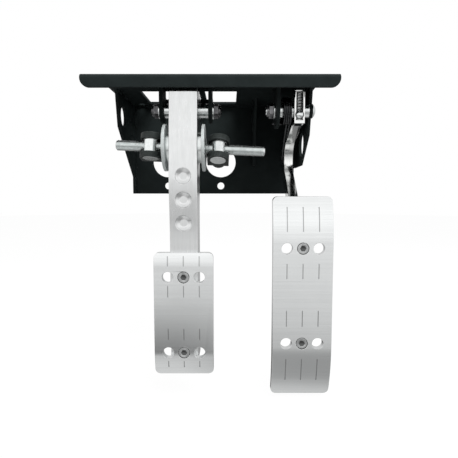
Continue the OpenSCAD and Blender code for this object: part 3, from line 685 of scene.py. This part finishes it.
@dataclass
class Bracket:
    """The welded and powder-coated bracket."""

    shop: Workshop
    edge_break: float = 0.5 * MM
    stitch: float = 24.0 * MM
    stitch_gap: float = 14.0 * MM
    least_stitch: float = 0.6
    wall_end: float = 8.0 * MM
    tab_end: float = 6.0 * MM
    plates: tuple[str, ...] = (
        "top_plate", "rear_wall", "left_gusset", "right_gusset", "centre_rib",
        "brake_ear_left", "brake_ear_right", "ear_strap", "throttle_ear",
    )

    def build(self) -> None:
        """Dresses every plate and lays the weld beads in the seams."""
        for plate in self.plates:
            self.shop.dress(plate, POWDER_COAT, self.edge_break)
        bm = bmesh.new()
        for start, end in self._seams():
            self._stitches(bm, Vector(start), Vector(end))
        bmesh.ops.recalc_face_normals(bm, faces=bm.faces)
        self.shop.piece("weld_beads", bm, POWDER_COAT, "rear_wall")

    def _seams(self) -> list[tuple[Point, Point]]:
        """Lists the inner corners where two plates meet.

        Returns:
            Both ends of each corner.
        """
        left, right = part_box("left_gusset"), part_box("right_gusset")
        rib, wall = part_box("centre_rib"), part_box("rear_wall")
        top, back = wall[1].z, wall[0].y
        seams = [
            ((left[1].x, left[0].y, top), (left[1].x, back, top)),
            ((right[0].x, right[0].y, top), (right[0].x, back, top)),
            ((left[1].x, back, top), (right[0].x, back, top)),
            ((left[1].x, back, top), (left[1].x, back, wall[0].z + self.wall_end)),
            ((right[0].x, back, top), (right[0].x, back, right[0].z)),
            ((rib[0].x, rib[0].y, top), (rib[0].x, back, top)),
            ((rib[0].x, back, top), (rib[0].x, back, rib[0].z)),
        ]
        for tab in ("brake_ear_left", "throttle_ear"):
            low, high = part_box(tab)
            seams.append(((low.x, low.y, top), (low.x, high.y - self.tab_end, top)))
        low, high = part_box("brake_ear_right")
        seams.append(((high.x, low.y, top), (high.x, high.y - self.tab_end, top)))
        return seams

    def _stitches(self, bm: bmesh.types.BMesh, start: Vector, end: Vector) -> None:
        """Fills a seam with evenly spaced beads.

        Args:
            bm: Mesh that takes the beads.
            start: One end of the seam.
            end: Its other end.
        """
        run = end - start
        count = max(1, round((run.length + self.stitch_gap) / (self.stitch + self.stitch_gap)))
        share = run / count
        length = max(share.length - self.stitch_gap, self.least_stitch * share.length)
        for i in range(count):
            middle = start + share * (i + 0.5)
            half = share.normalized() * (length / 2)
            WeldBead(middle - half, middle + half).add_to(bm)


@dataclass(frozen=True)
class Pad:
    """A pedal's pad on two screws: a flat with a roll above and below it, engraved in three columns."""

    pad: str
    screws: str
    edge_break: float = 0.3 * MM
    column: float = 14.6 * MM
    groove: float = 0.5 * MM
    engraved: float = 1.5 * MM
    bore_slope: float = 0.8
    socket: float = 3.0 * MM
    socket_depth: float = 2.5 * MM
    socket_rim: float = 0.3 * MM
    head: float = 5.0 * MM
    slack: float = 0.0002 * MM
    facet_tilt: float = 4.0

    def build(self, shop: Workshop) -> None:
        """Dresses the pad and its screws."""
        # The pad's engraving and the screws' sockets take painted shade.
        self._even(shop.dress(self.pad, PAD_ALLOY, self.edge_break, self._grooves()))
        shop.dress(self.screws, SCREW_STEEL, self.edge_break, self._sockets())

    def _front(self) -> Callable[[float], Vector]:
        """Measures the solid's flat and rolls.

        Returns:
            A function that gives the true normal of the front at a height.
        """
        low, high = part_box(self.pad)
        points = [v.co for v in frame["nodes"][self.pad].data.vertices]
        flat = [p.z for p in points if p.y < low.y + self.slack]
        bottom, top = min(flat), max(flat)
        back = min(p.y for p in points if p.z > high.z - self.slack) - low.y
        radius = (back ** 2 + (high.z - top) ** 2) / (2.0 * back)

        def normal(height: float) -> Vector:
            """Gives the normal, level on the flat and tilted on a roll."""
            sine = (max(0.0, height - top) + min(0.0, height - bottom)) / radius
            return Vector((0.0, -math.sqrt(1.0 - sine * sine), sine))

        return normal

    def _even(self, obj: bpy.types.Object) -> None:
        """Shades the front and back by true normals, which the engraving doesn't disturb.

        Args:
            obj: The finished pad, whose modifiers are taken off.
        """
        mesh, normal = obj.data, self._front()
        shaded = obj.evaluated_get(bpy.context.evaluated_depsgraph_get()).data
        corners = [corner.vector.copy() for corner in shaded.corner_normals]
        obj.modifiers.clear()
        limit = math.cos(math.radians(self.facet_tilt))
        borders: Counter[tuple[int, int]] = Counter()
        for face in mesh.polygons:
            facing = face.normal.dot(normal(face.center.z))
            if abs(facing) > limit:
                borders.update(face.edge_keys)
                for i in face.loop_indices:
                    place = mesh.vertices[mesh.loops[i].vertex_index].co
                    corners[i] = math.copysign(1.0, facing) * normal(place.z)
        for edge in mesh.edges:
            edge.use_edge_sharp = edge.use_edge_sharp or borders[edge.key] == 1
        mesh.normals_split_custom_set(corners)

    def _grooves(self) -> FaceTest:
        """Finds the three engraved columns.

        Returns:
            The test for a face that lies in one of them and isn't the wall of a bore.
        """
        low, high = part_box(self.pad)
        columns = [(low.x + high.x) / 2 + i * self.column for i in (-1, 0, 1)]

        def bored(face: bmesh.types.BMFace) -> bool:
            """Tells the wall of a bore, which goes deeper than the engraving."""
            depths = [v.co.y for v in face.verts]
            return abs(face.normal.z) > self.bore_slope and max(depths) - min(depths) > self.engraved

        return lambda face: not bored(face) and any(
            all(abs(v.co.x - c) < self.groove for v in face.verts) for c in columns)

    def _sockets(self) -> FaceTest:
        """Finds the hexagon sockets of the two screws.

        Returns:
            The test for a face that lies in one of them.
        """
        low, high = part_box(self.screws)
        middle = (low.x + high.x) / 2
        heights = (low.z + self.head, high.z - self.head)

        def inside(vert: bmesh.types.BMVert, height: float) -> bool:
            """Tells a point within the socket of the screw at a height."""
            reach = math.hypot(vert.co.x - middle, vert.co.z - height)
            return reach < self.socket and vert.co.y < low.y + self.socket_depth

        return lambda face: face.calc_center_median().y > low.y + self.socket_rim and any(
            all(inside(v, z) for v in face.verts) for z in heights)


@dataclass
class BrakePedal:
    """The brake arm on its pivot, with its tube, discs and pad."""

    shop: Workshop
    stud_pitch: float = 1.25 * MM
    nut_break: float = 0.45 * MM
    bush_break: float = 0.25 * MM
    arm_break: float = 0.6 * MM
    tube_break: float = 0.3 * MM
    disc_break: float = 0.4 * MM
    race_break: float = 0.2 * MM

    def build(self) -> None:
        """Dresses the pivot's hardware and the pedal."""
        low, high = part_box("brake_stud")
        stud = Thread(high.x - low.x, (high.z - low.z) / 2, self.stud_pitch).mesh()
        middle = (low + high) / 2
        bmesh.ops.translate(stud, verts=stud.verts, vec=(low.x, middle.y, middle.z))
        self.shop.piece("brake_stud_threaded", stud, DARK_STEEL, "brake_stud", "brake_stud")
        self.shop.dress("brake_nuts", DARK_STEEL, self.nut_break)
        for node in ("brake_washers", "brake_sleeve", "brake_bush"):
            self.shop.dress(node, ZINC_PLATE, self.bush_break)
        self.shop.dress("brake_arm", ARM_ALLOY, self.arm_break)
        self.shop.dress("balance_tube", ZINC_PLATE, self.tube_break)
        self.shop.dress("tube_discs", DULL_ZINC, self.disc_break)
        self.shop.dress("bearing_race", BRONZE, self.race_break)
        Pad("brake_pad", "brake_pad_screws").build(self.shop)


@dataclass
class BalanceBar:
    """The threaded bar in its ball, with a trunnion and a clevis on each side.

    The end share is the radius of the bar's chamfered end over its own radius.
    """

    shop: Workshop
    pitch: float = 1.25 * MM
    chamfer: float = 1.2 * MM
    end_share: float = 0.76
    ball_break: float = 0.2 * MM
    trunnion_break: float = 0.4 * MM
    clevis_break: float = 0.5 * MM

    def build(self) -> None:
        """Winds the bar's thread along its own axis and dresses what sits on it."""
        spin = next(j for j in frame["joints"] if j["name"] == "bias_bar_spin")
        axis, middle = Vector(spin["axis"]).normalized(), Vector(spin["pos_m"])
        low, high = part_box("balance_bar")
        radius = (high.y - low.y) / 2
        foot = abs(axis.z) * radius * self.end_share
        left = (middle.x - low.x - foot) / axis.x
        right = (high.x - middle.x - foot) / axis.x
        bar = Thread(left + right, radius, self.pitch, self.chamfer).mesh()
        turned = Vector((1, 0, 0)).rotation_difference(axis).to_matrix().to_4x4()
        bmesh.ops.transform(bar, verts=bar.verts, matrix=Matrix.Translation(middle - axis * left) @ turned)
        self.shop.piece("balance_bar_threaded", bar, ZINC_PLATE, "balance_bar", "balance_bar")
        self.shop.dress("bearing_ball", DARK_STEEL, self.ball_break)
        for side in ("left", "right"):
            self.shop.dress(f"trunnion_{side}", ZINC_PLATE, self.trunnion_break)
            self.shop.dress(f"clevis_{side}", PHOSPHATE, self.clevis_break)


@dataclass
class ThrottlePedal:
    """The throttle lever on its bolt, with its springs, nipple and pad."""

    shop: Workshop
    slot_width: float = 8.8 * MM
    slot_depth: float = 7.2 * MM
    slot_span: Span = (3.6 * MM, 30.0 * MM)
    slot_rim: float = 0.4 * MM
    nipple_sink: float = 2.0 * MM
    leg_room: float = 2.6 * MM
    bolt_break: float = 0.3 * MM
    nut_break: float = 0.45 * MM
    bush_break: float = 0.25 * MM
    nipple_break: float = 0.2 * MM
    arm_break: float = 0.5 * MM

    def build(self) -> None:
        """Dresses the pivot's hardware and the pedal."""
        self.shop.dress("throttle_bolt", ZINC_PLATE, self.bolt_break)
        self.shop.dress("throttle_nut", NUT_STEEL, self.nut_break)
        for node in ("throttle_washer", "throttle_sleeve", "throttle_bush"):
            self.shop.dress(node, ZINC_PLATE, self.bush_break)
        self.shop.wire("return_spring", OILED_STEEL, self._twist())
        self.shop.wire("cable_spring", ZINC_PLATE)
        self.shop.dress("cable_nipple", ZINC_PLATE, self.nipple_break)
        # The lever's cable slot takes painted shade.
        self.shop.dress("throttle_arm", LEVER_ALLOY, self.arm_break, self._slot())
        Pad("throttle_pad", "throttle_pad_screws").build(self.shop)

    def _twist(self) -> Twist:
        """Gives the return spring's wire a span from the fixed tab to the lever, which carries the long leg.
        The coil is not made to turn.
        """
        start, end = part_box("throttle_ear")[1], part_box("throttle_arm")[0]
        return Twist("throttle_pedal", Vector((start.x, 0, 0)), Vector((end.x - self.leg_room, 0, 0)))

    def _slot(self) -> FaceTest:
        """Finds the cable slot in the lever's head.

        Returns:
            The test for a face of the lever that lies in it.
        """
        low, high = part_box("throttle_arm")
        middle = (low.x + high.x) / 2
        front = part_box("cable_nipple")[0].y + self.nipple_sink
        near, far = self.slot_span

        def inside(vert: bmesh.types.BMVert) -> bool:
            """Tells a point within the slot."""
            across, deep, down = abs(vert.co.x - middle), vert.co.y - front, high.z - vert.co.z
            return across < self.slot_width / 2 and deep < self.slot_depth and near < down < far

        rim = front + self.slot_rim
        return lambda face: face.calc_center_median().y > rim and all(map(inside, face.verts))


@dataclass(frozen=True)
class SoftLight:
    """One square studio lamp, which gloss does not show."""

    name: str
    place: Point
    size: float
    power: float

    def build(self, target: Vector) -> None:
        """Hangs the lamp and turns it to a point.

        Args:
            target: The point that it lights.
        """
        lamp = bpy.data.lights.new(self.name, "AREA")
        lamp.size = self.size
        lamp.energy = self.power
        obj = bpy.data.objects.new(self.name, lamp)
        obj.location = self.place
        obj.rotation_mode = "QUATERNION"
        obj.rotation_quaternion = (target - Vector(self.place)).to_track_quat("-Z", "Y")
        obj.visible_glossy = False
        bpy.context.scene.collection.objects.link(obj)


@dataclass
class Studio:
    """Floor, backdrop, lamps and camera.

    The sky and the grounds are pairs of a direction's height, from -1 to 1, and its light. They show only in
    gloss, with the left ground on one side of the sides' span and the right ground on the other. Over the
    rear span they fall off by the rear's shade.
    """

    eye: Point = (0.017, -0.433, -0.110)
    pitch_down: float = 4.82
    focal_px: float = 400.0
    frame_px: float = 458.0
    sensor_mm: float = 36.0
    near_clip: float = 10.0 * MM
    floor_gap: float = 6.0 * MM
    floor_radius: float = 4.0
    floor_sides: int = 64
    floor_grey: float = 0.42
    floor_roughness: float = 0.9
    glow_share: float = 0.90
    glow_strength: float = 1.08
    ambient: float = 0.10
    lamps: tuple[SoftLight, ...] = (
        SoftLight("key_lamp", (0.35, -0.70, 1.00), 0.9, 29.0),
        SoftLight("fill_lamp", (0.80, -0.70, 0.15), 0.8, 1.5),
        SoftLight("back_lamp", (0.20, 0.80, 0.80), 0.9, 5.0),
    )
    sky: tuple[Level, ...] = ((-0.02, 1.00), (0.09, 1.08), (0.30, 1.20), (0.60, 1.08), (1.0, 0.90))
    ground_left: tuple[Level, ...] = (
        (-1.0, 0.80), (-0.50, 0.68), (-0.46, 0.40), (-0.41, 0.06), (-0.35, 0.20),
        (-0.28, 0.62), (-0.21, 0.86), (-0.18, 0.86), (-0.12, 0.66),
    )
    ground_right: tuple[Level, ...] = (
        (-1.0, 0.80), (-0.90, 0.58), (-0.80, 0.38), (-0.60, 0.35),
        (-0.44, 0.38), (-0.36, 0.56), (-0.30, 0.75), (-0.19, 0.80),
    )
    sides: Span = (-0.10, 0.08)
    rear: Span = (-0.20, 0.50)
    rear_shade: float = 0.4

    def build(self) -> None:
        """Makes the whole studio."""
        scene = bpy.context.scene
        scene.view_settings.view_transform = "Standard"
        low, high = CAD_BOX
        self._floor(low.z - self.floor_gap)
        self._world()
        for lamp in self.lamps:
            lamp.build((low + high) / 2)
        camera = bpy.data.cameras.new("camera")
        camera.sensor_width = self.sensor_mm
        camera.lens = self.focal_px * self.sensor_mm / self.frame_px
        camera.clip_start = self.near_clip
        obj = bpy.data.objects.new("camera", camera)
        obj.location = self.eye
        obj.rotation_euler = (math.radians(90.0 - self.pitch_down), 0.0, 0.0)
        scene.collection.objects.link(obj)
        scene.camera = obj

    def _floor(self, height: float) -> None:
        """Lays a pale floor that the camera sees as nearly white, with the part's shadow on it.

        Args:
            height: Height of the floor.
        """
        bm = bmesh.new()
        bmesh.ops.create_circle(bm, cap_ends=True, radius=self.floor_radius, segments=self.floor_sides)
        bmesh.ops.translate(bm, verts=bm.verts, vec=(0, 0, height))
        mesh = bpy.data.meshes.new("floor")
        bm.to_mesh(mesh)
        bm.free()
        made = bpy.data.materials.new("pale_floor")
        made.use_nodes = True
        sketch = NodeSketch(made.node_tree)
        matt = made.node_tree.nodes["Principled BSDF"]
        matt.inputs["Base Color"].default_value = (self.floor_grey, self.floor_grey, self.floor_grey, 1.0)
        matt.inputs["Roughness"].default_value = self.floor_roughness
        glow = sketch.add("ShaderNodeEmission")
        glow.inputs["Strength"].default_value = self.glow_strength
        blend = sketch.add("ShaderNodeMixShader")
        camera_ray = sketch.add("ShaderNodeLightPath").outputs["Is Camera Ray"]
        sketch.feed(blend.inputs[0], sketch.math("MULTIPLY", camera_ray, self.glow_share))
        sketch.feed(blend.inputs[1], matt.outputs[0])
        sketch.feed(blend.inputs[2], glow.outputs[0])
        sketch.feed(made.node_tree.nodes["Material Output"].inputs["Surface"], blend.outputs[0])
        mesh.materials.append(made)
        obj = bpy.data.objects.new("floor", mesh)
        obj.visible_glossy = False
        bpy.context.scene.collection.objects.link(obj)

    def _world(self) -> None:
        """White behind the part, an even light all round, and a soft studio gradient for gloss to show."""
        world = bpy.data.worlds.new("studio")
        bpy.context.scene.world = world
        world.use_nodes = True
        sketch = NodeSketch(world.node_tree)
        backdrop = world.node_tree.nodes["Background"]
        heading = sketch.add("ShaderNodeTexCoord").outputs["Generated"]
        parts = sketch.add("ShaderNodeSeparateXYZ")
        sketch.feed(parts.inputs[0], heading)
        height = sketch.spread(parts.outputs["Z"], -1.0, 1.0, 0.0, 1.0)
        left = self._gradient(sketch, height, self.ground_left + self.sky)
        right = self._gradient(sketch, height, self.ground_right + self.sky)
        gloss = sketch.mix(sketch.spread(parts.outputs["X"], *self.sides, 0.0, 1.0), left, right)
        behind = sketch.spread(parts.outputs["Y"], *self.rear, 0.0, self.rear_shade)
        gloss = sketch.mix(behind, gloss, (0.0, 0.0, 0.0, 1.0))
        path = sketch.add("ShaderNodeLightPath")
        even = (self.ambient, self.ambient, self.ambient, 1.0)
        glossy = sketch.math("MAXIMUM", path.outputs["Is Glossy Ray"], path.outputs["Is Transmission Ray"])
        shown = sketch.mix(glossy, even, gloss)
        seen = sketch.mix(path.outputs["Is Camera Ray"], shown, (1.0, 1.0, 1.0, 1.0))
        sketch.feed(backdrop.inputs["Color"], seen)

    def _gradient(
        self, sketch: NodeSketch, height: bpy.types.NodeSocket, levels: tuple[Level, ...],
    ) -> bpy.types.NodeSocket:
        """Makes a grey gradient over height.

        Args:
            sketch: The world's shader tree.
            height: Height of a direction, from 0 straight down to 1 straight up.
            levels: Pairs of height, from -1 to 1, and light.

        Returns:
            The gradient's colour socket.
        """
        ramp = sketch.add("ShaderNodeValToRGB")
        sketch.feed(ramp.inputs[0], height)
        stops = ramp.color_ramp.elements
        while len(stops) < len(levels):
            stops.new(0.5)
        for stop, (level, light) in zip(stops, levels):
            stop.position = (level + 1.0) / 2.0
            stop.color = (light, light, light, 1.0)
        return ramp.outputs["Color"]


def main() -> None:
    """Builds the studio and every sub-assembly."""
    logging.basicConfig(level=logging.INFO, format="%(name)s: %(message)s")
    Studio().build()
    shop = Workshop(EffectLibrary())
    for assembly in (Bracket(shop), BrakePedal(shop), BalanceBar(shop), ThrottlePedal(shop)):
        assembly.build()


if __name__ == "__main__":
    main()
